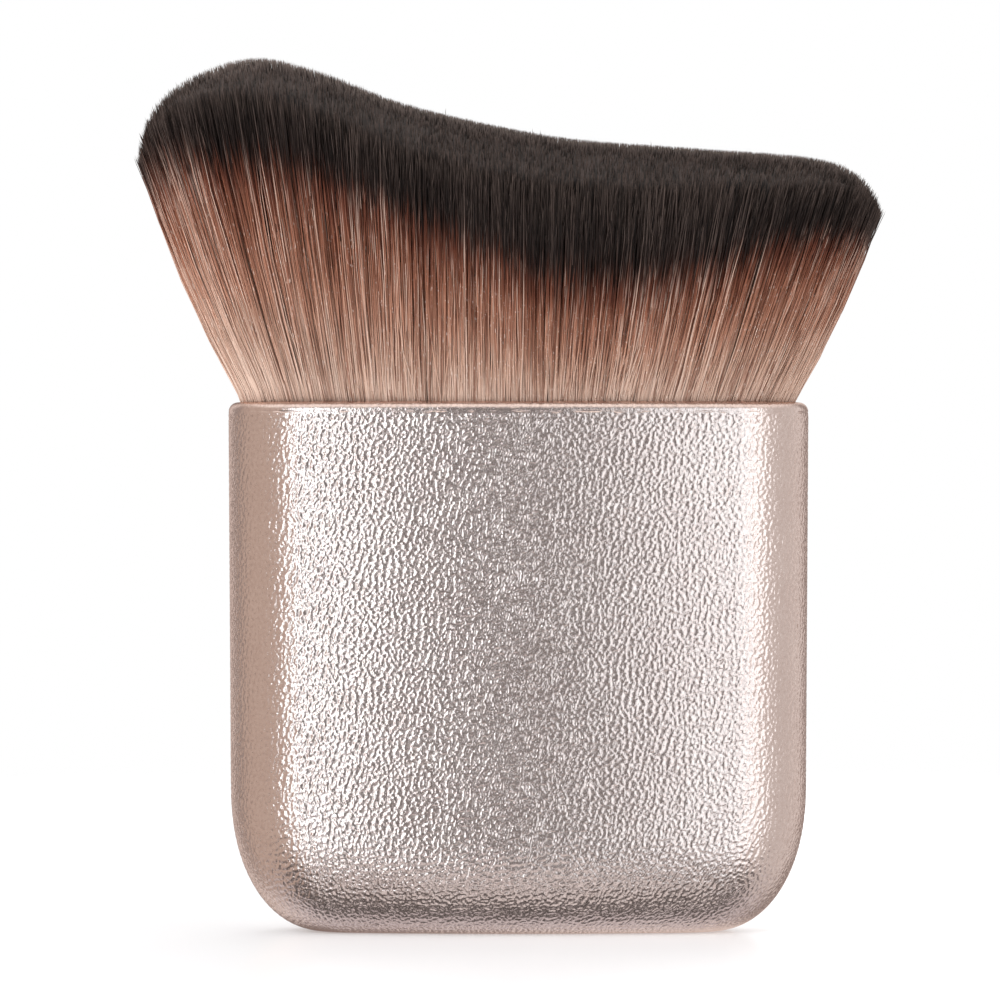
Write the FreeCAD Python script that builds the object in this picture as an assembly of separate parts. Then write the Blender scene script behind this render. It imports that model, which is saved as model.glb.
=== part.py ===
import FreeCAD, Part
import math
import os

# Wide flat kabuki brush: a soft-cornered moulded handle with two bundles of hair potted in its mouth.
# Millimetres. The origin is the middle of the flat base, +Z runs up to the hair, the front faces -Y.

# Handle, outside
handle_width = 63.0
handle_depth = 24.0
handle_height = 57.4
handle_taper = 0.35  # each side comes in by this from the lip to the base
face_taper = 0.28  # the front and back come in by this from the lip to the base
side_turn = math.radians(79)  # how far the round sides turn before they run into the front and back
corner_reach = 10.2  # how far the base corners cut in, seen from the front
corner_rise = 15.5
heel_reach = 6.2  # how far the front and back curl in under the base
heel_rise = 10.5
corner_power = 2.15  # 2 is an ellipse, more is fuller

# Handle, inside
lip_wall = 1.3
lip_land = 0.3  # flat left on top of the lip, inside its round
lip_height = 2.0  # upright band at the rim, above the taper
ledge_width = 1.2  # step that the hair socket stands on
base_wall = 3.0
pocket_depth = 17.4
cradle_wall = 1.2
cradle_height = 4.0

# Hair socket, the cup that stands in the mouth
socket_wall = 0.9
socket_floor = 1.2
socket_rim_drop = 3.4
glue_hole_radius = 2.2
glue_hole_pitch = 28.0
glue_hole_steps = (-0.5, 0.5)

# Potting and bindings round the hair roots
potting_depth = 4.6
binding_height = 3.0
binding_thickness = 0.5

# Hair
tuft_height = 37.6  # rim to the highest point of the wave
side_flare = 13.3  # how far each side leans out over the full height
face_flare = 5.5  # how far the front and back lean out over the full height
flare_bow_share = 0.445  # 0 is a straight fan, more leans out sooner
crown_drop = 8.0  # how far the wave falls from its middle line to the front and back
crown_turn = math.radians(53)  # how far the crown's shoulders turn before they run into its top
parting = 3.1  # the two bundles meet on this plane, right of the middle
# The wave along its middle line: shares of the reach at the wave's foot, and of the height.
wave_foot_share = 0.73
wave_shares = (
    (-1.04, 0.560),
    (-1.0, 0.734),
    (-0.966, 0.843),
    (-0.879, 0.936),
    (-0.709, 1.0),
    (-0.534, 0.963),
    (-0.282, 0.862),
    (0.097, 0.774),
    (0.476, 0.739),
    (0.760, 0.715),
    (0.886, 0.670),
    (0.949, 0.580),
    (1.0, 0.440),
)

# Counterweight in the base, on its adhesive pad
weight_length = 36.0
weight_height = 10.0
weight_edge = 0.8
pad_thickness = 1.0

# Fits
seat_clearance = 0.1
hair_clearance = 0.1
overrun = 2.0  # how far cutting solids pass the faces that they cut

# How many straight bands the curved lofts are drawn with
corner_band_count = 8
lip_band_count = 2
flare_band_count = 11
wave_band_count = 20

lip_round = lip_wall - lip_land
lip_foot = handle_height - lip_height
straight_z = max(corner_rise, heel_rise)
body_wall = lip_wall + ledge_width
ledge_z = handle_height - pocket_depth
socket_top = handle_height - socket_rim_drop
potting_bottom = ledge_z + socket_floor
potting_top = potting_bottom + potting_depth
binding_top = potting_top + binding_height
pocket_half_width = handle_width / 2 - lip_wall
pocket_half_depth = handle_depth / 2 - lip_wall
mouth_half_width = pocket_half_width - hair_clearance
mouth_half_depth = pocket_half_depth - hair_clearance
socket_half_width = pocket_half_width - seat_clearance
socket_half_depth = pocket_half_depth - seat_clearance
neck_half_width = socket_half_width - socket_wall - hair_clearance
neck_half_depth = socket_half_depth - socket_wall - hair_clearance


def oval_sides(half_width, half_depth, turn):
    """Centre and radius of the side arcs of an oval made of four tangent arcs."""
    flatness = (1 - math.sin(turn)) / math.cos(turn)
    radius = (half_depth - flatness * half_width) / (1 - flatness)
    return half_width - radius, radius


def oval(half_width, half_depth, z):
    """Closed wire of four tangent arcs: bowed front and back, and rounder sides."""
    centre, radius = oval_sides(half_width, half_depth, side_turn)
    touch_x = centre + radius * math.cos(side_turn)
    touch_y = radius * math.sin(side_turn)

    def at(x, y):
        return FreeCAD.Vector(x, y, z)

    arcs = (
        (at(touch_x, -touch_y), at(half_width, 0), at(touch_x, touch_y)),
        (at(touch_x, touch_y), at(0, half_depth), at(-touch_x, touch_y)),
        (at(-touch_x, touch_y), at(-half_width, 0), at(-touch_x, -touch_y)),
        (at(-touch_x, -touch_y), at(0, -half_depth), at(touch_x, -touch_y)),
    )
    return Part.Wire([Part.Arc(*points).toShape() for points in arcs])


def oval_prism(half_width, half_depth, bottom, top):
    """Upright solid with an oval section."""
    face = Part.Face(oval(half_width, half_depth, bottom))
    return face.extrude(FreeCAD.Vector(0, 0, top - bottom))


def block(half_width, half_depth, bottom, top):
    """Upright box round the middle."""
    corner = FreeCAD.Vector(-half_width, -half_depth, bottom)
    return Part.makeBox(2 * half_width, 2 * half_depth, top - bottom, corner)


def corner_inset(z, reach, rise):
    """How far a superelliptic corner has come in at height z."""
    below = min(max(1 - z / rise, 0), 1)
    return reach * (1 - (1 - below**corner_power) ** (1 / corner_power))


def handle_half_sizes(z, wall):
    """Half width and half depth of the handle at height z, inside a wall."""
    below_share = max(lip_foot - z, 0) / lip_foot
    side_inset = wall + handle_taper * below_share + corner_inset(z, corner_reach, corner_rise)
    face_inset = wall + face_taper * below_share + corner_inset(z, heel_reach, heel_rise)
    return handle_width / 2 - side_inset, handle_depth / 2 - face_inset


def quarter_turns(count):
    """Angles from 0 to a quarter turn, evenly spaced."""
    return [math.pi / 2 * i / count for i in range(count + 1)]


def make_handle_body():
    """The handle before it is hollowed: soft base corners, tapered sides and an upright lip with a round."""
    profile = [(straight_z * (1 - math.cos(turn)), 0) for turn in quarter_turns(corner_band_count)]
    profile.append((lip_foot, 0))
    for turn in quarter_turns(lip_band_count):
        profile.append((handle_height - lip_round * (1 - math.sin(turn)), lip_round * (1 - math.cos(turn))))
    return Part.makeLoft([oval(*handle_half_sizes(z, inset), z) for z, inset in profile], True, True)


def oval_half_depth_at(x, half_width, half_depth):
    """Half depth of an oval at a distance x from its middle, along its bowed front."""
    centre, radius = oval_sides(half_width, half_depth, side_turn)
    bow_radius = radius + centre / math.cos(side_turn)
    return half_depth - bow_radius + math.sqrt(bow_radius**2 - x**2)


def weight_half_sizes(grow):
    """Half length and half depth of the counterweight, whose cradle reaches across the hollow's floor."""
    half_length = weight_length / 2
    cradle_grow = seat_clearance + cradle_wall
    floor_sizes = handle_half_sizes(base_wall, body_wall)
    half_depth = oval_half_depth_at(half_length + cradle_grow, *floor_sizes) - cradle_grow
    return half_length + grow, half_depth + grow


def make_handle_shell():
    """Moulded cup with a rounded lip, a ledge for the socket and a cradle on the hollow's floor."""
    pocket = oval_prism(pocket_half_width, pocket_half_depth, ledge_z, handle_height + overrun)
    upper = oval_prism(*handle_half_sizes(straight_z, body_wall), straight_z, ledge_z)
    lower = oval_prism(*handle_half_sizes(base_wall, body_wall), base_wall, straight_z)
    cradle_top = base_wall + cradle_height
    cradle = block(*weight_half_sizes(seat_clearance + cradle_wall), base_wall, cradle_top)
    cradle = cradle.cut(block(*weight_half_sizes(seat_clearance), base_wall, cradle_top))
    return make_handle_body().cut([pocket, upper, lower]).fuse(cradle).removeSplitter()


def glue_plugs(radius, bottom, top):
    """Upright cylinders, spaced along the socket's floor."""
    plugs = []
    for step in glue_hole_steps:
        foot = FreeCAD.Vector(step * glue_hole_pitch, 0, bottom)
        plugs.append(Part.makeCylinder(radius, top - bottom, foot))
    return plugs


def make_hair_socket():
    """Thin oval cup on the ledge, with holes in its floor that the potting keys into."""
    cup = oval_prism(socket_half_width, socket_half_depth, ledge_z, socket_top)
    inner_half_width = socket_half_width - socket_wall
    inner_half_depth = socket_half_depth - socket_wall
    inside = oval_prism(inner_half_width, inner_half_depth, potting_bottom, socket_top + overrun)
    holes = glue_plugs(glue_hole_radius, ledge_z - overrun, potting_bottom + overrun)
    return cup.cut([inside] + holes)


def make_root_potting():
    """Cured adhesive on the socket's floor, with a key down each glue hole."""
    slab = oval_prism(neck_half_width, neck_half_depth, potting_bottom, potting_top)
    keys = glue_plugs(glue_hole_radius - hair_clearance, ledge_z, potting_top)
    return slab.fuse(keys).removeSplitter()


def tuft_half_sizes(rise_share):
    """Half width and half depth of the hair at a share of its height above the rim."""
    lean = (1 + flare_bow_share) * rise_share - flare_bow_share * rise_share**2
    return mouth_half_width + side_flare * lean, mouth_half_depth + face_flare * lean


def make_flared_hair():
    """Hair before the wave is shaped: a neck in the socket, then an oval fan above the rim."""
    sections = [oval(neck_half_width, neck_half_depth, z) for z in (potting_top, socket_top)]
    for i in range(flare_band_count + 1):
        rise_share = i / flare_band_count
        sections.append(oval(*tuft_half_sizes(rise_share), handle_height + rise_share * tuft_height))
    return Part.makeLoft(sections, True, True)


def wave_section(x, crest, half_depth, bottom):
    """Slice across the brush: upright sides, two shoulder arcs and a crown arc over them."""
    centre, radius = oval_sides(half_depth, crown_drop, crown_turn)

    def at(y, z):
        return FreeCAD.Vector(x, y, z)

    def shoulder(side, angle):
        return at(side * (centre + radius * math.cos(angle)), side_top + radius * math.sin(angle))

    side_top = crest - crown_drop
    front_top = at(-half_depth, side_top)
    front_foot = at(-half_depth, bottom)
    back_top = at(half_depth, side_top)
    back_foot = at(half_depth, bottom)
    curves = (
        Part.LineSegment(front_foot, front_top),
        Part.Arc(front_top, shoulder(-1, crown_turn / 2), shoulder(-1, crown_turn)),
        Part.Arc(shoulder(-1, crown_turn), at(0, crest), shoulder(1, crown_turn)),
        Part.Arc(shoulder(1, crown_turn), shoulder(1, crown_turn / 2), back_top),
        Part.LineSegment(back_top, back_foot),
        Part.LineSegment(back_foot, front_foot),
    )
    return Part.Wire([curve.toShape() for curve in curves])


def make_wave_solid():
    """Solid under the crowned top, lofted from side to side along a curve through the wave's points."""
    reach, half_depth = tuft_half_sizes(wave_foot_share)
    points = []
    for across_share, rise_share in wave_shares:
        points.append(FreeCAD.Vector(across_share * reach, 0, handle_height + rise_share * tuft_height))
    wave = Part.BSplineCurve()
    wave.interpolate(points)
    crests = wave.discretize(Number=wave_band_count + 1)
    sections = [wave_section(c.x, c.z, half_depth, potting_top - overrun) for c in crests]
    return Part.makeLoft(sections, True, True)


def bundle_side(side, inset):
    """Everything on one side of the parting plane, kept back from it by an inset."""
    reach = handle_width + side_flare + overrun
    depth = handle_depth + 2 * (face_flare + overrun)
    height = handle_height + tuft_height + overrun
    plane = parting + side * inset
    low_x = plane if side > 0 else plane - reach
    return Part.makeBox(reach, depth, height, FreeCAD.Vector(low_x, -depth / 2, 0))


def make_root_binding(side):
    """Band wound round the roots of one bundle, just above the potting."""
    outside = oval_prism(neck_half_width, neck_half_depth, potting_top, binding_top)
    waist_half_width = neck_half_width - binding_thickness
    waist_half_depth = neck_half_depth - binding_thickness
    waist = oval_prism(waist_half_width, waist_half_depth, potting_top, binding_top)
    waist = waist.common(bundle_side(side, binding_thickness))
    return outside.common(bundle_side(side, 0)).cut(waist)


def make_hair_bundle(side, tuft):
    """One side of the hair, drawn in to a waist where its binding sits."""
    return tuft.common(bundle_side(side, 0)).cut(make_root_binding(side))


def make_counterweight():
    """Steel bar with chamfered edges, lying in the cradle on its pad."""
    bottom = base_wall + pad_thickness
    bar = block(*weight_half_sizes(0), bottom, bottom + weight_height)
    return bar.makeChamfer(weight_edge, bar.Edges)


def make_weight_pad():
    """Adhesive pad between the floor and the counterweight."""
    return block(*weight_half_sizes(-weight_edge), base_wall, base_wall + pad_thickness)


def main():
    os.makedirs("parts", exist_ok=True)
    tuft = make_flared_hair().common(make_wave_solid())
    parts = {
        "handle_shell": make_handle_shell(),
        "hair_socket": make_hair_socket(),
        "root_potting": make_root_potting(),
        "left_root_binding": make_root_binding(-1),
        "right_root_binding": make_root_binding(1),
        "left_hair_bundle": make_hair_bundle(-1, tuft),
        "right_hair_bundle": make_hair_bundle(1, tuft),
        "counterweight": make_counterweight(),
        "weight_pad": make_weight_pad(),
    }
    for name, shape in parts.items():
        shape.exportStep(os.path.join("parts", name + ".step"))
        print(name, len(shape.Solids), "solid", shape.isValid(), round(shape.Volume, 1), "mm3")


main()
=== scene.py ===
import math

import bpy
import numpy as np
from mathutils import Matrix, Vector


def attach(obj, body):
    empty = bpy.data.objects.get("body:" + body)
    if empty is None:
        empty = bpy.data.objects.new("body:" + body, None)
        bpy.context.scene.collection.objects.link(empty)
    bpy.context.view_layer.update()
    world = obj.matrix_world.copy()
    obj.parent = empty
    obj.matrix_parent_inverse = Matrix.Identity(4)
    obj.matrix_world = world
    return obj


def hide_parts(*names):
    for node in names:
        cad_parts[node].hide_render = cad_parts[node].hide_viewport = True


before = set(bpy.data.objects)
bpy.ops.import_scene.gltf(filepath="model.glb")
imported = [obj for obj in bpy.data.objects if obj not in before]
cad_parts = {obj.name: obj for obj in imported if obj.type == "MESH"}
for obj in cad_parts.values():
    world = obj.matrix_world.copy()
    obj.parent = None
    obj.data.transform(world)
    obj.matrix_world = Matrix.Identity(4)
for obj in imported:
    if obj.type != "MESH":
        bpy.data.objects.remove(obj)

# Wide flat brush: a pebbled metallic handle and a tuft cut to a wave.
# Sizes are in millimetres until they go into a mesh. +Z is up and the front faces -Y.
mm = 0.001
scene = bpy.context.scene
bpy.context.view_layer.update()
print("frame loaded:", ", ".join(sorted(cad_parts)))


# shader maths


class Wire:
    # one output socket, with operators that add Math nodes
    def __init__(self, tree, socket):
        self.tree = tree
        self.socket = socket

    def node(self, kind, settings, inputs, output=0):
        # any shader node: settings first, then values or links for its sockets
        made = self.tree.nodes.new("ShaderNode" + kind)
        for key, value in settings.items():
            if key == "stops":
                ramp = made.color_ramp
                while len(ramp.elements) < len(value):
                    ramp.elements.new(1)
                for element, (place, colour) in zip(ramp.elements, value):
                    element.position = place
                    element.color = colour
            else:
                setattr(made, key, value)
        for key, value in inputs.items():
            if isinstance(value, Wire):
                self.tree.links.new(value.socket, made.inputs[key])
            else:
                made.inputs[key].default_value = value
        return Wire(self.tree, made.outputs[output])

    def math(self, operation, *values):
        return self.node("Math", {"operation": operation}, dict(enumerate(values)))

    def __add__(self, other):
        return self.math("ADD", self, other)

    __radd__ = __add__

    def __sub__(self, other):
        return self.math("SUBTRACT", self, other)

    def __rsub__(self, other):
        return self.math("SUBTRACT", other, self)

    def __mul__(self, other):
        return self.math("MULTIPLY", self, other)

    __rmul__ = __mul__

    def __pow__(self, other):
        return self.math("POWER", self, other)

    def __abs__(self):
        return self.math("ABSOLUTE", self)

    def floor(self):
        return self.math("FLOOR", self)

    def sin(self):
        return self.math("SINE", self)

    def larger(self, other):
        return self.math("MAXIMUM", self, other)

    def ease(self, low, high):
        # smooth step from 0 at low to 1 at high
        settings = {"interpolation_type": "SMOOTHSTEP"}
        return self.node("MapRange", settings, {0: self, 1: low, 2: high, 3: 0, 4: 1})

    def blend(self, first, second):
        # colour that goes from first to second as this value goes from 0 to 1
        inputs = {0: self, 6: first, 7: second}
        return self.node("Mix", {"data_type": "RGBA"}, inputs, 2)


def rgba(red, green, blue):
    # linear colour of an sRGB colour from 0 to 255
    shares = np.array([red, green, blue]) / 255
    return (*np.where(shares < 0.04045, shares / 12.92, ((shares + 0.055) / 1.055) ** 2.4), 1)


class Finish:
    # a material with one Principled shader
    def __init__(self, name, roughness, constants=None):
        self.material = bpy.data.materials.new(name)
        self.material.use_nodes = True
        self.tree = self.material.node_tree
        self.shader = self.tree.nodes["Principled BSDF"]
        self.start = Wire(self.tree, None)
        for key, value in {"Roughness": roughness, **(constants or {})}.items():
            self.shader.inputs[key].default_value = value

    def place(self):
        return self.start.node("TexCoord", {}, {}, "Object")

    def field(self, name):
        return self.start.node("Attribute", {"attribute_name": name}, {}, "Fac")

    def axis(self, vector, index):
        return self.start.node("SeparateXYZ", {}, {0: vector}, index)

    def stretch(self, vector, scale):
        return self.start.node("Mapping", {}, {"Vector": vector, "Scale": scale})

    def noise(self, vector, scale, detail=2.0, roughness=0.5):
        inputs = {"Vector": vector, "Scale": scale, "Detail": detail, "Roughness": roughness}
        return self.start.node("TexNoise", {}, inputs)

    def feed(self, name, wire):
        self.tree.links.new(wire.socket, self.shader.inputs[name])

    def bump(self, height, distance):
        self.feed("Normal", self.start.node("Bump", {}, {"Height": height, "Distance": distance}))


# meshes


def addObject(name, data):
    made = bpy.data.objects.new(name, data)
    scene.collection.objects.link(made)
    return made


def addPiece(name, points, quads, triangles, finish, uvs=None, fields=None, normals=None):
    # points in mm, faces as index arrays, uvs by face corner, fields by point
    mesh = bpy.data.meshes.new(name)
    corners = np.concatenate([quads.ravel(), triangles.ravel()]).astype(np.int32)
    sizes = np.concatenate([np.full(len(quads), 4), np.full(len(triangles), 3)])
    starts = np.concatenate([[0], np.cumsum(sizes)[:-1]]).astype(np.int32)
    mesh.vertices.add(len(points))
    mesh.vertices.foreach_set("co", (points * mm).astype(np.float32).ravel())
    mesh.loops.add(len(corners))
    mesh.loops.foreach_set("vertex_index", corners)
    mesh.polygons.add(len(starts))
    mesh.polygons.foreach_set("loop_start", starts)
    mesh.update(calc_edges=True)
    mesh.polygons.foreach_set("use_smooth", np.ones(len(starts), bool))
    if uvs is not None:
        layer = mesh.uv_layers.new(name="OFBake")
        layer.data.foreach_set("uv", uvs.astype(np.float32).ravel())
    for key, values in (fields or {}).items():
        attribute = mesh.attributes.new(key, "FLOAT", "POINT")
        attribute.data.foreach_set("value", values.astype(np.float32).ravel())
    if normals is not None:
        mesh.normals_split_custom_set_from_vertices(normals)
    mesh.materials.append(finish.material)
    piece = addObject(name, mesh)
    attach(piece, "root")
    return piece


def gridFaces(rows, columns, poles=False):
    # quads of a grid, row by row; with poles, the first and last row are one point each, so their cells
    # become triangles
    index = np.arange(rows * columns).reshape(rows, columns)
    if poles:
        index[[0, -1]] = index[[0, -1], :1]
    cells = np.stack([index[:-1, :-1], index[:-1, 1:], index[1:, 1:], index[1:, :-1]], -1)
    if not poles:
        return cells.reshape(-1, 4), np.zeros((0, 3), int)
    triangles = np.concatenate([cells[0][:, [0, 2, 3]], cells[-1][:, [0, 1, 2]]])
    return cells[1:-1].reshape(-1, 4), triangles


def unit(vectors):
    # vectors at length 1
    return vectors / np.maximum(np.linalg.norm(vectors, axis=-1, keepdims=True), 1e-9)


# the oval that the handle and the tuft are drawn with


def ovalSides(halfWidth, halfDepth, turn):
    # four tangent arcs: centre and radius of those at the sides, and radius of those in front and behind
    flatness = (1 - math.sin(turn)) / math.cos(turn)
    radius = (halfDepth - flatness * halfWidth) / (1 - flatness)
    centre = halfWidth - radius
    return centre, radius, radius + centre / math.cos(turn)


def ovalPoint(facing, halfWidth, halfDepth, turn):
    # point where the outline faces an angle: 0 is the front, a quarter turn is +X
    centre, radius, bow = ovalSides(halfWidth, halfDepth, turn)
    across, along = np.sin(facing), -np.cos(facing)
    onFace = np.abs(across) < math.cos(turn)
    x = np.where(onFace, bow * across, np.sign(across) * centre + radius * across)
    y = np.where(onFace, bow * along - np.sign(along) * (bow - halfDepth), radius * along)
    return x, y


def evenFacings(halfWidth, halfDepth, turn, start, count):
    # facings that are evenly spaced along the outline, over one quarter from start
    radius, bow = ovalSides(halfWidth, halfDepth, turn)[1:]
    dense = start + np.linspace(0, math.pi / 2, 4001)
    middle = (dense[1:] + dense[:-1]) / 2
    speed = np.where(np.abs(np.sin(middle)) < math.cos(turn), bow, radius)
    length = np.concatenate([[0], np.cumsum(speed * np.diff(dense))])
    wanted = np.linspace(0, length[-1], count)
    return np.interp(wanted, length, dense), wanted, length[-1]


# handle: metallic skin with pebbles, lip and hollow

handle = {
    "halfWidth": 31.5,
    "halfDepth": 12.0,
    "height": 57.4,
    "sideTaper": 0.35,
    "faceTaper": 0.28,
    "sideTurn": math.radians(79),
    "cornerReach": 10.2,
    "cornerRise": 15.5,
    "heelReach": 6.2,
    "heelRise": 10.5,
    "cornerPower": 2.15,
    "lipWall": 1.3,
    "lipRound": 1.0,
    "lipHeight": 2.0,
    "pocketDepth": 17.4,
    "ledge": 1.2,
    "baseWall": 3.0,
    "cradle": (19.3, 5.818, 18.1, 4.618, 4.0),  # outer and inner half sizes, height
    "pocketRings": (0.0, 0.3, 2.0, 6.0),  # depths below the rim of the rings inside the mouth
    "hollowRings": (28.0, 8.0),  # heights of the rings above and below the hollow's step
    "cell": 0.162,  # size of a mesh cell on the wall
    "lipStep": 0.05,
    "quarterLength": 37.3,  # of the outline
    "pebbles": (0.52, 0.45, 0.19),  # wavelength, its spread and the mean slope
    "evening": (0.3, 0.7),  # least strength and power that make the pebbles nearly equal
    "skew": 0.15,  # over 0, tops are broad and creases narrow
    "waves": 160,
    "smoothAbove": 56.2,  # the lip has only faint pebbles
    "lipWaver": 0.15,
    "lipRows": 12,  # rows of the lip that still waver
    "lipFade": 0.2,
    "rimGap": 0.1,
    "rimFade": 0.5,
    "baseFade": 0.8,
    "grooveHeight": 56.32,
    "grooveDepth": 0.045,
    "grooveWidth": 0.09,
    "grooveWander": 0.07,
    "grooveUneven": 0.8,
    "grooveSpacing": 5,  # mesh columns from knot to knot
    "seed": 7,
}


def cornerInset(z, reach, rise):
    # superellipse: how far a base corner has come in at height z
    below = np.clip(1 - z / rise, 0, 1)
    power = handle["cornerPower"]
    return reach * (1 - (1 - below**power) ** (1 / power))


def handleSizes(z, wall):
    lipFoot = handle["height"] - handle["lipHeight"]
    below = np.maximum(lipFoot - z, 0) / lipFoot
    side = wall + handle["sideTaper"] * below + cornerInset(z, handle["cornerReach"], handle["cornerRise"])
    face = wall + handle["faceTaper"] * below + cornerInset(z, handle["heelReach"], handle["heelRise"])
    return handle["halfWidth"] - side, handle["halfDepth"] - face


def rowLengths(wide, deep, z):
    # length up the wall to each row, with the root mean square of the steps inwards
    steps = np.hypot(np.hypot(np.diff(wide), np.diff(deep)) / math.sqrt(2), np.diff(z))
    return np.concatenate([[0], np.cumsum(steps)])


def handleRows():
    # half width, half depth and height of each row:
    # under the base, up the wall, over the lip and into the hollow
    top = handle["height"]
    turns = np.linspace(0, math.pi / 2, 3000)
    rise = np.concatenate([handle["cornerRise"] * (1 - np.cos(turns)), [top - handle["lipHeight"]]])
    wide, deep = handleSizes(rise, 0)
    length = rowLengths(wide, deep, rise)
    wallRise = np.interp(np.arange(0, length[-1], handle["cell"]), length, rise)
    lipRise = np.arange(top - handle["lipHeight"], top - handle["lipRound"], handle["lipStep"])
    wallRise = np.concatenate([wallRise, lipRise])
    wide, deep = handleSizes(wallRise, 0)
    outside = np.stack([wide, deep, wallRise], 1)
    shares = np.array([0, 0.25, 0.5, 0.7, 0.85, 0.95, 0.99])[:, None]
    base = outside[:1] * shares
    turns = np.linspace(0, math.pi / 2, 16)
    inset = handle["lipRound"] * (1 - np.cos(turns))
    z = top - handle["lipRound"] * (1 - np.sin(turns))
    lip = np.stack([handle["halfWidth"] - inset, handle["halfDepth"] - inset, z], 1)
    wall = handle["lipWall"]
    body = wall + handle["ledge"]
    pocket = np.array([handle["halfWidth"], handle["halfDepth"]]) - wall
    ledgeZ = top - handle["pocketDepth"]
    upper = np.array(handleSizes(handle["cornerRise"], body))
    lower = np.array(handleSizes(handle["baseWall"], body))
    upperRing, lowerRing = handle["hollowRings"]
    inside = [(*pocket, top - depth) for depth in (*handle["pocketRings"], handle["pocketDepth"])]
    inside += [(*upper, ledgeZ), (*upper, upperRing), (*upper, handle["cornerRise"])]
    inside += [(*lower, handle["cornerRise"]), (*lower, lowerRing), (*lower, handle["baseWall"])]
    inside += [(*(lower * share), handle["baseWall"]) for share in (0.6, 0.3, 0)]
    return np.concatenate([base, outside, lip, np.array(inside)]), len(base), len(base) + len(outside)


def waveField(rng, around, along, perimeter, wavelength, spread, slope):
    # height of a sum of plane waves and its two slopes; a whole number of each wave fits round the handle
    count = handle["waves"]
    direction = rng.uniform(0, math.pi, count)
    number = 2 * math.pi / wavelength * (1 + spread * rng.uniform(-1, 1, count))
    wholeWaves = np.round(number * np.cos(direction) * perimeter / (2 * math.pi))
    aroundNumber = wholeWaves * 2 * math.pi / perimeter
    alongNumber = number * np.sin(direction)
    size = slope * math.sqrt(2 / count) / number
    first = np.outer(along, alongNumber) + rng.uniform(0, 2 * math.pi, count)
    second = np.outer(aroundNumber, around)
    cosFirst, sinFirst = np.cos(first), np.sin(first)
    cosSecond, sinSecond = np.cos(second), np.sin(second)

    def cosines(sizes):
        return (cosFirst * sizes) @ cosSecond - (sinFirst * sizes) @ sinSecond

    def sines(sizes):
        return (sinFirst * sizes) @ cosSecond + (cosFirst * sizes) @ sinSecond

    return np.stack([cosines(size), -sines(size * aroundNumber), -sines(size * alongNumber)])


def makeHandleFinish():
    finish = Finish("pebbledMetal", 0.28, {"Metallic": 1.0, "Specular Tint": rgba(236, 220, 212)})
    place = finish.place()
    grain = finish.noise(place, 3000, 2.0, 0.6)
    finish.bump(grain, 0.045 * mm)
    cloud = finish.noise(place, 90, 3.0, 0.6).ease(0.35, 0.65)
    # painted shade: the creases between the pebbles are darker in the colour, and a little rougher
    creaseShade = 1 - finish.field("pebbleHeight").ease(-0.03, 0.0)
    metal = cloud.blend(rgba(224, 211, 206), rgba(228, 216, 211))
    metal = (grain.ease(0.3, 0.7) * 0.5).blend(metal, rgba(206, 189, 182))
    metal = (creaseShade * 0.18).blend(metal, rgba(186, 166, 158))
    finish.feed("Base Color", metal)
    finish.feed("Roughness", 0.205 + 0.08 * grain + 0.05 * creaseShade)
    return finish


def pebbleField(rng, around, along, perimeter):
    # height of the pebbles and its two slopes
    wave, aroundSlope, alongSlope = waveField(rng, around, along, perimeter, *handle["pebbles"])
    # nearly equal pebbles: wave and slopes over a power of the wave's local strength
    number = 2 * math.pi / handle["pebbles"][0]
    strength = np.sqrt(wave**2 + (aroundSlope**2 + alongSlope**2) / number**2)
    least, power = handle["evening"]
    strength = np.maximum(strength / strength.mean(), least) ** power
    wave, aroundSlope, alongSlope = wave / strength, aroundSlope / strength, alongSlope / strength
    # broad tops and narrow creases: height is minus the exponential of minus the wave
    steep = np.exp(-handle["skew"] * wave / wave.std())
    height = (steep.mean() - steep) * wave.std() / handle["skew"]
    return height, aroundSlope * steep, alongSlope * steep


def grooveField(rng, z, count, onWall):
    # height of the uneven groove that runs round under the lip
    uneven = rng.normal(0, 1, (2, count // handle["grooveSpacing"]))
    knots = np.arange(uneven.shape[1])
    places = np.arange(count) / handle["grooveSpacing"]
    wander, depth = [np.interp(places, knots, values, period=len(knots)) for values in uneven]
    away = (z[:, None] - handle["grooveHeight"] - handle["grooveWander"] * wander) / handle["grooveWidth"]
    depth = handle["grooveDepth"] * np.maximum(1 + handle["grooveUneven"] * depth, 0)
    return -depth * np.exp(-(away**2)) * onWall[:, None]


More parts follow.
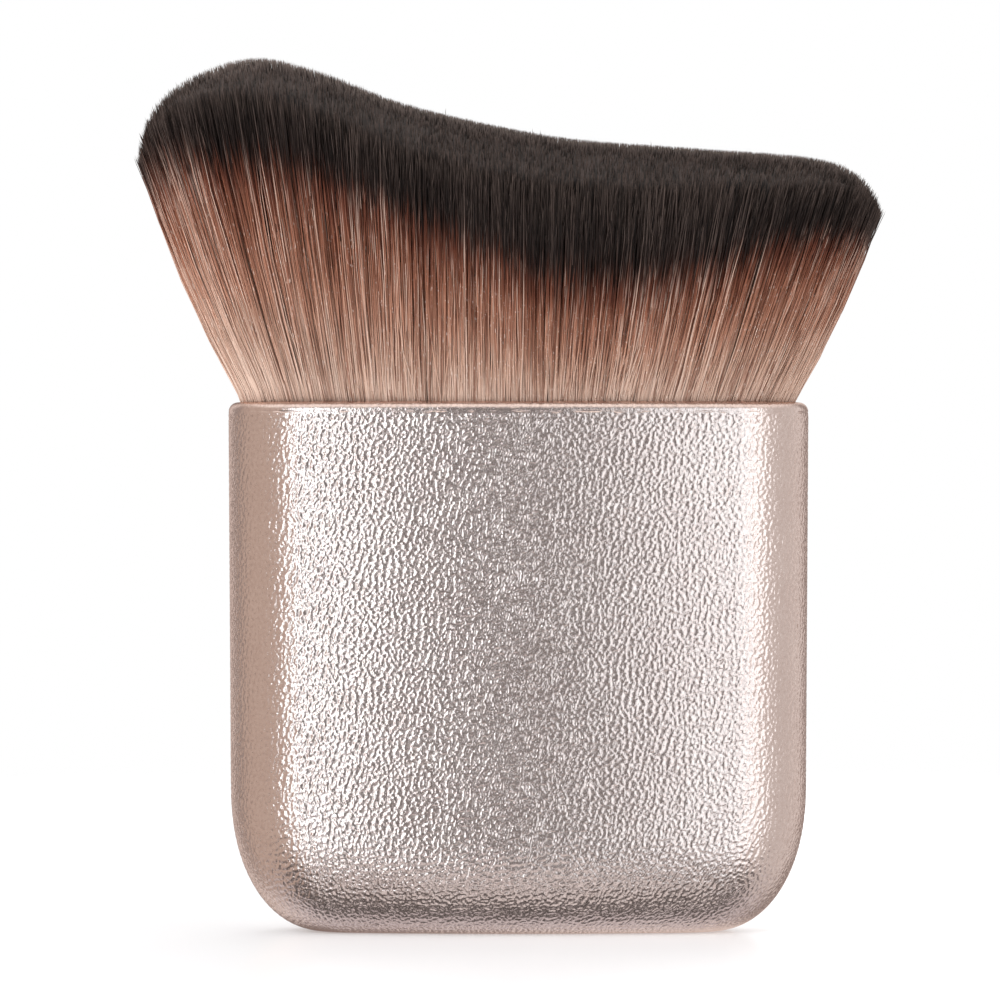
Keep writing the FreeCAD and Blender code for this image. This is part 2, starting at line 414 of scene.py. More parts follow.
def makeHandle(finish):
    rows, firstWall, firstLip = handleRows()
    wide, deep, z = rows.T
    along = rowLengths(wide, deep, z)
    quarterCount = int(round(handle["quarterLength"] / handle["cell"]))
    sizes = (handle["halfWidth"], handle["halfDepth"], handle["sideTurn"])
    quarters = [evenFacings(*sizes, i * math.pi / 2, quarterCount) for i in range(4)]
    perimeter = sum(quarter[2] for quarter in quarters)
    facings = np.concatenate([quarter[0][:-1] for quarter in quarters])
    around = np.concatenate([quarter[1][:-1] + i * quarter[2] for i, quarter in enumerate(quarters)])
    count = len(facings)
    rng = np.random.default_rng(handle["seed"])
    height, aroundSlope, alongSlope = pebbleField(rng, around, along, perimeter)
    # points of the bare skin, and its normal from the cross product of the two grid directions
    halfSizes = np.maximum(rows[:, :2, None], 1e-6)
    x, y = ovalPoint(facings[None], halfSizes[:, 0], halfSizes[:, 1], handle["sideTurn"])
    points = np.stack([x, y, np.broadcast_to(z[:, None], x.shape)], -1)
    overAlong = np.gradient(points, along, axis=0)
    overAround = (np.roll(points, -1, 1) - np.roll(points, 1, 1)) / (2 * perimeter / count)
    bare = unit(np.cross(overAround, overAlong))
    # pebbles fade out at the lip and under the base
    rowNumber = np.arange(len(z))
    onWall = (rowNumber >= firstWall) & (rowNumber < firstLip + handle["lipRows"])
    fade = np.clip((handle["smoothAbove"] - z) / handle["lipFade"], handle["lipWaver"], 1)
    fade = fade * np.clip((handle["height"] - handle["rimGap"] - z) / handle["rimFade"], 0, 1)
    fade = fade * np.clip(z / handle["baseFade"], 0, 1)
    mask = (onWall * fade)[:, None]
    height = mask * height
    groove = grooveField(rng, z, count, onWall)
    points = points + bare * (height + groove)[..., None]
    # normal of the raised skin: each grid direction rises along the bare normal by its slope
    overAround = overAround + bare * (mask * aroundSlope)[..., None]
    overAlong = overAlong + bare * (mask * alongSlope + np.gradient(groove, along, axis=0))[..., None]
    normals = unit(np.cross(overAround, overAlong))
    normals[0] = (0, 0, -1)
    normals[-1] = (0, 0, 1)
    quads, triangles = gridFaces(len(z), quarterCount, poles=True)
    u, v = np.meshgrid(np.linspace(0.01, 0.99, quarterCount), 0.01 + 0.98 * along / along[-1])
    uvs = np.stack([u.ravel(), v.ravel()], 1)[np.concatenate([quads.ravel(), triangles.ravel()])]
    pieces = []
    for i, name in enumerate(("handleFrontRight", "handleBackRight", "handleBackLeft", "handleFrontLeft")):
        columns = (np.arange(quarterCount) + i * (quarterCount - 1)) % count
        fields = {"pebbleHeight": height[:, columns]}
        corners, facing = points[:, columns].reshape(-1, 3), normals[:, columns].reshape(-1, 3)
        pieces.append(addPiece(name, corners, quads, triangles, finish, uvs, fields, facing))
    return pieces


def makeCradle(finish):
    # four low ribs on the hollow's floor: one closed section carried round a rectangle
    outWide, outDeep, inWide, inDeep, height = handle["cradle"]
    low = handle["baseWall"]
    high = low + height
    outer, inner = (outWide, outDeep), (inWide, inDeep)
    section = ((*outer, low), (*outer, high), (*inner, high), (*inner, low))
    signs = np.array([(-1, -1), (1, -1), (1, 1), (-1, 1)])
    points = np.array([[(w * sx, d * sy, z) for sx, sy in signs] for w, d, z in section]).reshape(-1, 3)
    i, j = np.meshgrid(np.arange(4), np.arange(4), indexing="ij")
    here, right = i * 4 + j, i * 4 + (j + 1) % 4
    up, upRight = (i + 1) % 4 * 4 + j, (i + 1) % 4 * 4 + (j + 1) % 4
    quads = np.stack([here, right, upRight, up], -1).reshape(-1, 4)
    return addPiece("weightCradle", points, quads, np.zeros((0, 3), int), finish)


handleFinish = makeHandleFinish()
handlePieces = makeHandle(handleFinish) + [makeCradle(handleFinish)]
for piece in handlePieces:
    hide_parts("handle_shell")
print("handle:", [len(piece.data.polygons) for piece in handlePieces])


# tuft: tapered strands over a dark core

tuft = {
    "rim": handle["height"],
    "mouth": (30.1, 10.6),
    "neck": (29.1, 9.6, 3.4),  # half width, half depth and how far below the rim
    "height": 37.6,
    "sideFlare": 14.6,
    "faceFlare": 5.5,
    "bow": 0.33,
    "crownDrop": 8.0,
    "crownTurn": math.radians(53),
    "waveFoot": 0.73,
    "waveReach": 40.98,
    "wave": (
        (-1.04, 0.560), (-1.0, 0.734), (-0.966, 0.843), (-0.879, 0.936), (-0.709, 1.0), (-0.534, 0.963),
        (-0.282, 0.862), (0.097, 0.774), (0.476, 0.739), (0.760, 0.715), (0.886, 0.670), (0.949, 0.580),
        (1.0, 0.440),
    ),
    "parting": 3.1,
    "outerStrands": 18000,
    "innerStrands": 36000,
    "rimSpread": 0.004,  # of the outer strands' facings
    "rimDepth": (0.8, 3.2),  # mean and most depth of the outer strands inside the mouth's edge
    "fillShare": 0.97,  # of the mouth, taken by the inner strands
    "strandRadius": 0.055,
    "tipRadius": 0.026,
    "taperLength": 9.0,
    "taperPower": 0.7,
    "strandTurn": 0.5,  # of a strand's three sides
    "sink": 3.0,  # how far below the rim the strands start
    "tipSearch": (4.0, 1.02, 90),  # least rise, most rise as a share of the height, steps
    "tones": 256,
    "toneStep": 0.2,  # from corner to corner of a strand, as a share of its tone column
    "dyeShare": 0.35,  # share of the colour's run that the dyed tip takes
    "dye": (  # X of a tip and the length of its dye
        (-41, 1.1), (-37, 3.8), (-31, 6.8), (-24, 6.2), (-13, 6.7), (-4, 8.5), (4.5, 11.2), (15, 10.9),
        (22, 9.6), (28, 7.5), (39, 3.0),
    ),
    "leftLean": 2.8,  # over 1, only the outermost strands flare
    "rightLean": 1.2,
    "leanEdge": 8,
    "seed": 21,
}

strandKinds = {
    "Outer": {
        "startShare": 0.0,  # where strands start, as a share of their rise; at 0 they start below the rim
        "stations": (0, 0.13, 0.33, 0.55, 0.77, 0.975, 1.0),
        "uneven": 6.5,  # how much shorter a tip on the slopes can be
        "lock": (0.8, 1.0),  # width and depth of a lock's cell
        "lockTone": 0.1,
        "tipsOnly": False,
    },
    "Crown": {
        "startShare": 0.55,
        "stations": (0, 0.45, 0.97, 1.0),
        "uneven": 2.0,
        "lock": (0.34, 0.5),
        "lockTone": 0.3,
        "tipsOnly": True,  # the filling shows only its black tips
    },
}

ruffle = {
    "slopeFrom": 0.3,  # share of the depth at which the even crest ends
    "slopeOver": 0.3,
    "evenDrop": 0.05,
    "evenSpread": 0.1,
    "unevenPower": 1.6,
    "strayShare": 0.002,
    "strayLength": (0.1, 0.6),
    "cells": (256, 128),
    "cellOrigin": (40, 20),
    "cellBend": 0.5,  # the locks' cells lie in wavy rows
    "cellTurns": (1.7, 1.3),
    "cellJitter": 0.3,
    "pull": 0.35,  # how far strands lean towards the middle of their lock
    "pullPower": 0.7,
    "free": 3.5,
    "freeEnd": 1.06,
    "sway": 0.3,  # of a lock
    "swayShares": (0.5, 0.4),  # sideways and inwards
    "own": 0.2,  # sway of a strand by itself
    "ownInwards": 0.6,
    "weave": (0.09, 0.15),
    "crossShare": 0.1,  # of strands that cross their neighbours
    "crossSpread": 0.9,
    "leanMiddle": 12,  # X of a band in front where many strands lean to the right
    "leanWidth": 5.0,
    "leanShare": 0.45,
    "lean": (0.3, 1.3),
    "splay": 0.25,
    "splayPower": 5,
    "partWidth": 0.12,
    "partReach": 0.6,
    "partRise": 5,
}

dyeing = {
    "cutShare": 1.2,  # dye that a tip has lost, over the length that it is cut short
    "leastDye": 1.0,
    "leastBare": 4.0,
    "tipsShare": 0.9,
    "crestDepth": 0.4,
    # painted highlight: pale tip ends along the crest, where light falls on the top
    "crestHighlight": (0.6, 0.4),  # everywhere, and more on the left
    "leftReach": 20,
    "blackRun": 0.05,  # where the painted highlight at the end of a tip turns black
    "edgeFrom": 0.84,  # painted light: strands at either end are paler, where the sides catch the light
    "edgeOver": 0.14,
    "edgeLight": 0.25,
    "ownTone": 0.2,
    "toneLimits": (0.002, 0.998),
}

core = {
    "columns": 90,
    "rows": 44,
    "capRows": 13,
    "insetWide": 1.2,
    "insetDeep": 1.1,
    "depth": 1.15,  # below the tips of the strands
}


def fanSizes(rise):
    # half width and half depth at a rise above the rim: bowed out above it, a short cone below it
    share = np.maximum(rise, 0) / tuft["height"]
    lean = (1 + tuft["bow"]) * share - tuft["bow"] * share**2
    below = np.minimum(rise, 0) / tuft["neck"][2]
    wide = tuft["mouth"][0] + tuft["sideFlare"] * lean + below * (tuft["mouth"][0] - tuft["neck"][0])
    deep = tuft["mouth"][1] + tuft["faceFlare"] * lean + below * (tuft["mouth"][1] - tuft["neck"][1])
    return wide, deep


def fanAcross(share, rise):
    # x of a strand that starts at a share of the mouth: outer strands flare more than inner ones
    wide = fanSizes(rise)[0]
    power = np.where(share < 0, tuft["leftLean"], tuft["rightLean"])
    size = np.abs(share)
    bent = size**power + (size - size**power) * size ** tuft["leanEdge"]
    flare = np.where(rise > 0, np.sign(share) * bent, share)
    return share * tuft["mouth"][0] + flare * (wide - tuft["mouth"][0])


def waveLine():
    # smooth line through the wave's points: a Catmull-Rom spline
    points = np.array(tuft["wave"]) * (tuft["waveReach"], tuft["height"])
    padded = np.concatenate([2 * points[:1] - points[1:2], points, 2 * points[-1:] - points[-2:-1]])
    share = np.linspace(0, 1, 24, endpoint=False)[:, None, None]
    a, b, c, d = padded[:-3], padded[1:-2], padded[2:-1], padded[3:]
    bend = 2 * a - 5 * b + 4 * c - d
    twist = 3 * b - a - 3 * c + d
    line = 0.5 * (2 * b + (c - a) * share + bend * share**2 + twist * share**3)
    line = line.transpose(1, 0, 2).reshape(-1, 2)
    return np.concatenate([line, points[-1:]])


waveTop = waveLine()


def topRise(x, y):
    # rise of the crowned top over a point: the wave's line less the crown's fall to front and back
    deep = fanSizes(tuft["waveFoot"] * tuft["height"])[1]
    centre, radius, bow = ovalSides(deep, tuft["crownDrop"], tuft["crownTurn"])
    touch = centre + radius * math.cos(tuft["crownTurn"])
    side = np.clip(np.abs(y), 0, centre + radius)
    crown = bow - np.sqrt(bow**2 - np.minimum(side, touch) ** 2)
    shoulder = tuft["crownDrop"] - np.sqrt(np.maximum(radius**2 - np.maximum(side - centre, 0) ** 2, 0))
    crest = np.interp(x, waveTop[:, 0], waveTop[:, 1], left=0, right=0)
    return crest - np.where(side < touch, crown, shoulder)


def tipRises(acrossShare, alongShare):
    # rise at which a strand that keeps its share of the fan meets the crowned top
    least, most, steps = tuft["tipSearch"]
    rises = np.linspace(least, most * tuft["height"], steps)
    deep = fanSizes(rises)[1]
    above = rises - topRise(fanAcross(acrossShare[:, None], rises[None]), np.outer(alongShare, deep))
    hit = np.clip(np.argmax(above > 0, 1), 1, len(rises) - 1)
    rows = np.arange(len(hit))
    low, high = above[rows, hit - 1], above[rows, hit]
    return rises[hit - 1] + (rises[hit] - rises[hit - 1]) * np.clip(low / (low - high), 0, 1)


def strandRoots(rng):
    # roots as shares of the mouth: a rim of outer strands, then the filling inside it
    wide, deep = tuft["mouth"]
    turn = handle["sideTurn"]
    facings = np.concatenate([evenFacings(wide, deep, turn, i * math.pi / 2, 1001)[0][:-1] for i in range(4)])
    count = tuft["outerStrands"]
    facing = facings[rng.integers(0, len(facings), count)] + rng.normal(0, tuft["rimSpread"], count)
    mean, most = tuft["rimDepth"]
    depth = np.minimum(rng.exponential(mean, count), most) + tuft["strandRadius"]
    x, y = ovalPoint(facing, wide - depth, deep - depth, turn)
    outer = np.stack([x / wide, y / deep], 1)
    edgeX, edgeY = ovalPoint(facings, wide, deep, turn)
    sector = np.abs(edgeX * np.roll(edgeY, -1) - np.roll(edgeX, -1) * edgeY)
    count = tuft["innerStrands"]
    pick = np.searchsorted(np.cumsum(sector) / sector.sum(), rng.random(count))
    share = np.sqrt(rng.random(count)) * tuft["fillShare"]
    inner = np.stack([edgeX[pick] / wide * share, edgeY[pick] / deep * share], 1)
    return outer, inner


def strandTips(rng, roots, kind):
    # rise of each tip: even along the crest, uneven on the slopes in front and behind, with a few strays
    count = len(roots)
    slope = np.clip((np.abs(roots[:, 1]) - ruffle["slopeFrom"]) / ruffle["slopeOver"], 0, 1)
    even = -ruffle["evenDrop"] - np.abs(rng.normal(0, ruffle["evenSpread"], count))
    short = slope * kind["uneven"] * rng.random(count) ** ruffle["unevenPower"]
    stray = rng.random(count) < ruffle["strayShare"]
    return tipRises(*roots.T) + even - short + stray * rng.uniform(*ruffle["strayLength"], count)


def strandColour(rng, roots, kind, points, tip, lockTone):
    # length from the tip and run of the colour by strand and station, and each strand's tone
    across, along = roots.T
    length = np.linalg.norm(np.diff(points, axis=1), axis=-1)
    fromTip = np.concatenate([np.cumsum(length[:, ::-1], 1)[:, ::-1], np.zeros((len(roots), 1))], 1)
    # from the tip to the dye's lower edge, then on to the rim; a tip that is cut short has less dye
    cut = tipRises(across, along) - tip
    dye = np.interp(points[:, -1, 0], *np.array(tuft["dye"]).T) - dyeing["cutShare"] * cut
    dye = np.maximum(dye, dyeing["leastDye"])[:, None]
    bare = np.maximum(tip[:, None] - dye, dyeing["leastBare"])
    share = tuft["dyeShare"]
    run = np.where(fromTip < dye, share * fromTip / dye, share + (1 - share) * (fromTip - dye) / bare)
    if kind["tipsOnly"]:
        run = np.minimum(run, dyeing["tipsShare"] * share)
    # painted highlight: only the crest keeps pale tip ends, most of all on the left, where the light is
    # strongest
    left = np.clip(-across * tuft["mouth"][0] / dyeing["leftReach"], 0, 1)
    everywhere, more = dyeing["crestHighlight"]
    crest = np.exp(-((along / dyeing["crestDepth"]) ** 2)) * (everywhere + more * left)
    run = np.maximum(run, dyeing["blackRun"] * (1 - crest)[:, None])
    # painted light: strands at either end of the fan get paler tones
    edge = np.clip((np.abs(across) - dyeing["edgeFrom"]) / dyeing["edgeOver"], 0, 1)
    tone = 0.5 + lockTone + dyeing["ownTone"] * rng.normal(0, 1, len(roots)) + dyeing["edgeLight"] * edge
    return fromTip, run, np.clip(tone, *dyeing["toneLimits"])


def strandPaths(rng, roots, kind):
    # centre lines as points by strand and station, the fan's own path gathered into locks and ruffled,
    # and then their colour
    count = len(roots)
    across, along = roots.T
    tip = strandTips(rng, roots, kind)
    start = kind["startShare"] * tip if kind["startShare"] > 0 else np.full(count, -tuft["sink"])
    rise = start[:, None] + (tip - start)[:, None] * np.array(kind["stations"])
    grow = np.clip(rise / tip[:, None], 0, 1)
    # locks: strands of one cell lean towards its middle and sway together
    x0, y0 = across * tuft["mouth"][0], along * tuft["mouth"][1]
    lockWide, lockDeep = kind["lock"]
    leftEdge, frontEdge = ruffle["cellOrigin"]
    bendX = ruffle["cellBend"] * np.sin(ruffle["cellTurns"][0] * y0)
    bendY = ruffle["cellBend"] * np.sin(ruffle["cellTurns"][1] * x0)
    cellX = np.floor((x0 + bendX + leftEdge) / lockWide).astype(int)
    cellY = np.floor((y0 + bendY + frontEdge) / lockDeep).astype(int)
    lock = cellX * ruffle["cells"][1] + cellY
    lockCount = math.prod(ruffle["cells"])
    jitter = rng.uniform(-ruffle["cellJitter"], ruffle["cellJitter"], (lockCount, 2))
    sway = rng.normal(0, ruffle["sway"], (lockCount, 2))
    tone = rng.normal(0, 1, lockCount)
    middleX = ((cellX + 0.5 + jitter[lock, 0]) * lockWide - leftEdge - bendX) / tuft["mouth"][0]
    middleY = ((cellY + 0.5 + jitter[lock, 1]) * lockDeep - frontEdge - bendY) / tuft["mouth"][1]
    pull = ruffle["pull"] * grow * (1 - grow) ** ruffle["pullPower"]
    x = fanAcross(across[:, None] + (middleX - across)[:, None] * pull, rise)
    y = (along[:, None] + (middleY - along)[:, None] * pull) * fanSizes(rise)[1]
    # sway is largest half way up and small at the tips, so the top stays even
    free = grow * (ruffle["freeEnd"] - grow) * ruffle["free"]
    own = rng.normal(0, ruffle["own"], (count, 2))
    cross = (rng.random(count) < ruffle["crossShare"]) * rng.normal(0, ruffle["crossSpread"], count)
    leanBand = np.exp(-(((x0 - ruffle["leanMiddle"]) / ruffle["leanWidth"]) ** 2)) * (y0 < 0)
    leanBand = leanBand * (rng.random(count) < ruffle["leanShare"])
    lean = (cross + leanBand * rng.uniform(*ruffle["lean"], count)) * (1 - np.abs(across) ** 3)
    weave = rng.normal(0, 1, (2, *rise.shape))
    sideways = ruffle["swayShares"][0] * sway[lock, 0] + own[:, 0] + lean
    inwards = ruffle["swayShares"][1] * sway[lock, 1] + ruffle["ownInwards"] * own[:, 1]
    x = x + (sideways[:, None] + ruffle["weave"][0] * weave[0]) * free
    y = y + (inwards[:, None] + ruffle["weave"][1] * weave[1]) * free
    # tips splay a little
    x = x + rng.normal(0, ruffle["splay"], count)[:, None] * grow ** ruffle["splayPower"]
    # the roots part: near the plane they are pushed aside just above the rim
    away = x0 - tuft["parting"]
    part = ruffle["partWidth"] * np.exp(-np.abs(away) / ruffle["partReach"]) * (y0 < 0)
    part = np.where(away > 0, part, -part)
    x = x + part[:, None] * np.clip(1 - rise / ruffle["partRise"], 0, 1) ** 2
    points = np.stack([x, y, tuft["rim"] + rise], -1)
    return points, *strandColour(rng, roots, kind, points, tip, kind["lockTone"] * tone[lock])


def addStrands(name, points, fromTip, run, shade, finish):
    # each strand is a closed three-sided tube that ends in one point
    count, stations = points.shape[:2]
    rings = stations - 1
    along = unit(np.gradient(points, axis=1))
    first = unit(np.cross(along, (0.0, 1.0, 0.0)))
    second = np.cross(along, first)
    # thin tips: the radius falls towards the end
    taper = np.clip(fromTip / tuft["taperLength"], 0, 1) ** tuft["taperPower"]
    radius = tuft["tipRadius"] + (tuft["strandRadius"] - tuft["tipRadius"]) * taper
    spin = np.arange(3) * 2 * math.pi / 3 + tuft["strandTurn"]
    offset = first[:, :, None] * np.cos(spin)[:, None] + second[:, :, None] * np.sin(spin)[:, None]
    tube = points[:, :, None] + radius[..., None, None] * offset
    corners = np.concatenate([tube[:, :rings].reshape(count, rings * 3, 3), points[:, -1:]], 1)
    base = np.arange(count)[:, None, None, None] * (rings * 3 + 1)
    ring, side = np.meshgrid(np.arange(rings - 1), np.arange(3), indexing="ij")
    here, right = ring * 3 + side, ring * 3 + (side + 1) % 3
    quads = (np.stack([here, here + 3, right + 3, right], -1)[None] + base).reshape(-1, 4)
    last = (rings - 1) * 3
    tips = np.array([[last + side, last + 3, last + (side + 1) % 3] for side in range(3)])
    foot = np.array([[0, 1, 2]])
    triangles = (np.concatenate([tips, foot])[None] + base[..., 0]).reshape(-1, 3)
    # u is one of the tone columns, a little wide so that each face has room; v is the colour's run
    column = np.floor(shade * tuft["tones"])
    u = (column[:, None] + tuft["toneStep"] + tuft["toneStep"] * np.arange(4)) / tuft["tones"]
    v = np.clip(run, 0, 0.999)
    quadU = np.stack([u[:, :3], u[:, :3], u[:, 1:], u[:, 1:]], -1)[:, None].repeat(rings - 1, 1)
    lower, upper = v[:, : rings - 1], v[:, 1:rings]
    quadV = np.stack([lower, upper, upper, lower], -1)[:, :, None].repeat(3, 2)
    tipU = np.stack([u[:, :3], (u[:, :3] + u[:, 1:]) / 2, u[:, 1:]], -1)
    tipV = np.stack([v[:, rings - 1], v[:, rings], v[:, rings - 1]], -1)[:, None].repeat(3, 1)
    footU = u[:, None, :3]
    footV = (v[:, :1] + np.array([0, 0.0005, 0]))[:, None]
    triangleU = np.concatenate([tipU, footU], 1)
    triangleV = np.concatenate([tipV, footV], 1)
    quadUv = np.stack([quadU, quadV], -1).reshape(-1, 2)
    triangleUv = np.stack([triangleU, triangleV], -1).reshape(-1, 2)
    uvs = np.concatenate([quadUv, triangleUv])
    return addPiece(name, corners.reshape(-1, 3), quads, triangles, finish, uvs)


def makeHairFinish():
    # tips are black, then reddish brown, then pale at the roots; each tone column shifts and tints it
    finish = Finish("taperedHair", 0.34, {"Specular IOR Level": 0.15})
    uv = finish.start.node("UVMap", {"uv_map": "OFBake"}, {})
    tone = finish.axis(uv, 0)
    column = (tone * tuft["tones"]).floor()
    hashed = finish.start.node("TexWhiteNoise", {"noise_dimensions": "1D"}, {"W": column})
    run = finish.axis(uv, 1)
    shifted = run + ((hashed - 0.5) * 0.1 + (tone - 0.5) * 0.06) * run.ease(0.0, 0.3)
    # the first stop is a painted highlight: the pale tip ends that only the crest keeps
    stops = (
        (0.0, rgba(158, 142, 134)),
        (0.05, rgba(66, 55, 50)),
        (0.13, rgba(43, 34, 31)),
        (0.25, rgba(36, 26, 23)),
        (0.32, rgba(56, 33, 26)),
        (0.44, rgba(110, 62, 46)),
        (0.56, rgba(150, 97, 75)),
        (0.72, rgba(176, 125, 102)),
        (0.86, rgba(194, 154, 133)),
        (1.0, rgba(208, 177, 159)),
    )
    dyed = finish.start.node("ValToRGB", {"stops": stops}, {0: shifted})
    bare = shifted.ease(0.3, 0.5)
    # tone wanders along each strand, so light and dark stretches are short
    stretch = finish.start.node("CombineXYZ", {}, {0: column * 5.3, 1: run * 7.0})
    tone = tone + (finish.noise(stretch, 1.0, 1.0) - 0.5) * 0.9
    dark = 1 - tone.ease(0.05, 0.55)
    shadow = shifted.ease(0.5, 0.95).blend(rgba(74, 34, 23), rgba(132, 88, 70))
    dyed = (dark * 0.8).blend(dyed, bare.blend(rgba(15, 12, 11), shadow))
    light = tone.ease(0.55, 1.0)
    dyed = (light * 0.55).blend(dyed, bare.blend(rgba(104, 88, 81), rgba(218, 190, 173)))
    # painted glints: short pale dashes in the colour along the strands
    glintPlace = finish.start.node("CombineXYZ", {}, {0: column * 3.7, 1: run * 50.0})
    glint = finish.noise(glintPlace, 1.0, 1.0).ease(0.63, 0.74) * shifted.ease(0.42, 0.6)
    finish.feed("Base Color", (glint * 0.4).blend(dyed, rgba(238, 220, 208)))
    return finish


def makeCoreFinish():
    finish = Finish("hairCore", 0.75)
    place = finish.place()
    streak = finish.noise(finish.stretch(place, (1, 0.08, 0.06)), 3200, 3.0, 0.6)
    low = finish.field("dyeRun").ease(0.8, 1.5)
    dark = streak.ease(0.35, 0.7).blend(rgba(18, 14, 13), rgba(72, 61, 57))
    brown = streak.ease(0.3, 0.7).blend(rgba(62, 34, 26), rgba(122, 80, 63))
    finish.feed("Base Color", low.blend(dark, brown))
    finish.bump(streak, 0.2 * mm)
    return finish


def makeCore(name, side, finish):
    # the fan kept a little inside its strands, cut at the parting and closed under a lowered top
    turns = np.linspace(0, math.pi, core["columns"])
    wide, deep = tuft["mouth"]
    edgeX, edgeY = ovalPoint(turns if side > 0 else turns + math.pi, wide, deep, handle["sideTurn"])
    pick = edgeX * side > tuft["parting"] * side
    split = tuft["parting"] / wide
    across = np.concatenate([[split], edgeX[pick] / wide, [split]])
    # the outline's first and last points lie on it at the parting
    order = np.argsort(edgeX)
    share = np.interp(tuft["parting"], edgeX[order], np.abs(edgeY)[order]) / deep
    ends = np.sign(edgeY[pick][[0, -1]]) * share
    along = np.concatenate([ends[:1], edgeY[pick] / deep, ends[1:]])
    across = split + (across - split) * (1 - core["insetWide"] / wide)
    along = along * (1 - core["insetDeep"] / deep)
    tip = tipRises(across, along) - core["depth"]
    levels = np.linspace(0, 1, core["rows"])[:, None]
    rise = -tuft["sink"] + (tip[None] + tuft["sink"]) * levels
    wall = np.stack([fanAcross(across[None], rise), along * fanSizes(rise)[1], tuft["rim"] + rise], -1)
    # the top closes over the middle line in shares of the outline's own depth
    capAlong = along * np.linspace(1, 0, core["capRows"] + 1)[1:, None]
    capAcross = np.broadcast_to(across, capAlong.shape)
    capTip = tipRises(capAcross.ravel(), capAlong.ravel()).reshape(capAlong.shape) - core["depth"]
    capDeep = capAlong * fanSizes(capTip)[1]
    cap = np.stack([fanAcross(capAcross, capTip), capDeep, tuft["rim"] + capTip], -1)
    foot = wall[:1] * (1, 0, 1)
    points = np.concatenate([foot, wall, cap])
    # depth under the top as a share of the dye's length
    dye = np.interp(points[..., 0], *np.array(tuft["dye"]).T)
    tops = np.concatenate([np.tile(tip, (len(foot) + len(wall), 1)), capTip])
    dyeRun = (tops + tuft["rim"] - points[..., 2]) / dye
    quads, triangles = gridFaces(len(points), len(across))
    # the plane at the parting, between the first and last column
    first = np.arange(len(points)) * len(across)
    last = first + len(across) - 1
    web = np.stack([first[:-1], first[1:], last[1:], last[:-1]], -1)
    faces = np.concatenate([quads, web])
    return addPiece(name, points.reshape(-1, 3), faces, triangles, finish, fields={"dyeRun": dyeRun})


hairFinish = makeHairFinish()
coreFinish = makeCoreFinish()
rng = np.random.default_rng(tuft["seed"])
rootsByKind = dict(zip(strandKinds, strandRoots(rng)))
split = tuft["parting"] / tuft["mouth"][0]
for label, kind in strandKinds.items():
    across, along = rootsByKind[label].T
    strands = strandPaths(rng, rootsByKind[label], kind)
    for side, onSide in (("left", across < split), ("right", across >= split)):
        for half, onHalf in (("Front", along < 0), ("Back", along >= 0)):
            pick = onSide & onHalf
            picked = [values[pick] for values in strands]
            piece = addStrands(side + "Hair" + label + half, *picked, hairFinish)
            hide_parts(side + "_hair_bundle")
            print("hair:", piece.name, int(pick.sum()), "strands")
for name, side in (("left", -1), ("right", 1)):
    piece = makeCore(name + "HairCore", side, coreFinish)
    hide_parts(name + "_hair_bundle")
print("tuft done")


# finishes of the pieces inside the handle


def makeSocketFinish():
    finish = Finish("socketPlastic", 0.5)
    place = finish.place()
    grain = finish.noise(place, 1400, 3.0, 0.6)
    finish.feed("Base Color", grain.ease(0.3, 0.7).blend(rgba(24, 23, 23), rgba(40, 38, 38)))
    finish.feed("Roughness", 0.42 + 0.2 * grain)
    finish.bump(grain, 0.02 * mm)
    return finish


def makePottingFinish():
    finish = Finish("pottingResin", 0.2)
    place = finish.place()
    cloud = finish.noise(place, 160, 4.0, 0.6)
    bubble = finish.start.node("TexVoronoi", {}, {"Vector": place, "Scale": 700.0})
    speck = 1 - bubble.ease(0.12, 0.2)
    amber = cloud.ease(0.3, 0.7).blend(rgba(150, 118, 70), rgba(196, 168, 118))
    finish.feed("Base Color", (speck * 0.5).blend(amber, rgba(226, 208, 170)))
    finish.feed("Roughness", 0.14 + 0.25 * cloud)
    finish.bump(cloud - speck * 0.4, 0.05 * mm)
    return finish


def makeThreadFinish():
    finish = Finish("boundThread", 0.8)
    place = finish.place()
    threadWidth = 0.42 * mm
    turns = (finish.axis(place, 2) * (2 * math.pi / threadWidth)).sin()
    fibre = finish.noise(finish.stretch(place, (1, 1, 4)), 1500, 3.0, 0.6)
    finish.feed("Base Color", turns.ease(-0.9, 0.4).blend(rgba(150, 140, 122), rgba(214, 206, 190)))
    finish.feed("Roughness", 0.7 + 0.2 * fibre)
    finish.bump(turns * 0.5 + fibre * 0.5, 0.08 * mm)
    return finish


def makeSteelFinish():
    finish = Finish("brushedSteel", 0.3, {"Metallic": 1.0})
    place = finish.place()
    brushed = finish.noise(finish.stretch(place, (0.03, 1, 1)), 3000, 3.0, 0.6)
    rust = finish.noise(place, 240, 4.0, 0.65).ease(0.6, 0.72)
    steel = brushed.ease(0.3, 0.7).blend(rgba(150, 151, 154), rgba(186, 187, 190))
    finish.feed("Base Color", (rust * 0.35).blend(steel, rgba(120, 100, 86)))
    finish.feed("Roughness", 0.24 + 0.2 * brushed)
    finish.bump(brushed, 0.02 * mm)
    return finish


def makePadFinish():
    finish = Finish("padRubber", 0.85)
    place = finish.place()
    cell = finish.start.node("TexVoronoi", {}, {"Vector": place, "Scale": 1600.0})
    finish.feed("Base Color", cell.ease(0.1, 0.6).blend(rgba(20, 20, 20), rgba(52, 50, 49)))
    finish.feed("Roughness", 0.75 + 0.2 * cell)
    finish.bump(cell, 0.06 * mm)
    return finish


innerFinishes = {
    "hair_socket": makeSocketFinish(),
    "root_potting": makePottingFinish(),
    "left_root_binding": makeThreadFinish(),
    "counterweight": makeSteelFinish(),
    "weight_pad": makePadFinish(),
}
innerFinishes["right_root_binding"] = innerFinishes["left_root_binding"]
for node, finish in innerFinishes.items():
    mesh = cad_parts[node].data
    mesh.materials.clear()
    mesh.materials.append(finish.material)
print("inner finishes:", len(innerFinishes))


# stage, light and camera

